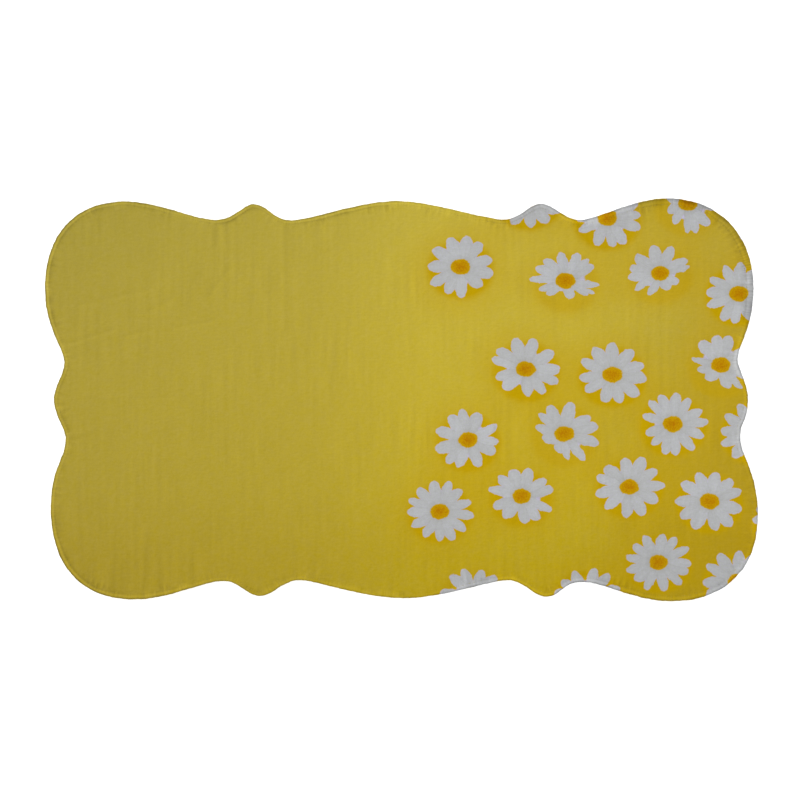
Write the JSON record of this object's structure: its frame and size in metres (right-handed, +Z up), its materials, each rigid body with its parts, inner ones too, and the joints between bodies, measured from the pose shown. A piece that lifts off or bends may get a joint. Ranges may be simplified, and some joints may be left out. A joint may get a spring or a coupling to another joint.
{
  "type": "doormat",
  "caption": "Flat printed cloth doormat in a scalloped bracket outline, its edge turned under and sewn down.",
  "frame": {"origin": "on the floor, under the middle of the mat's box", "axes": "+X along the mat to its right-hand end, +Y across it to its far side, +Z up from the floor"},
  "size_m": [0.8, 0.452, 0.0042],
  "materials": {
    "printed_cloth": "matte",
    "cloth_back": "matte",
    "sewing_thread": "matte"
  },
  "bodies": {
    "root": {"mat": "printed_cloth"}
  },
  "joints": []
}
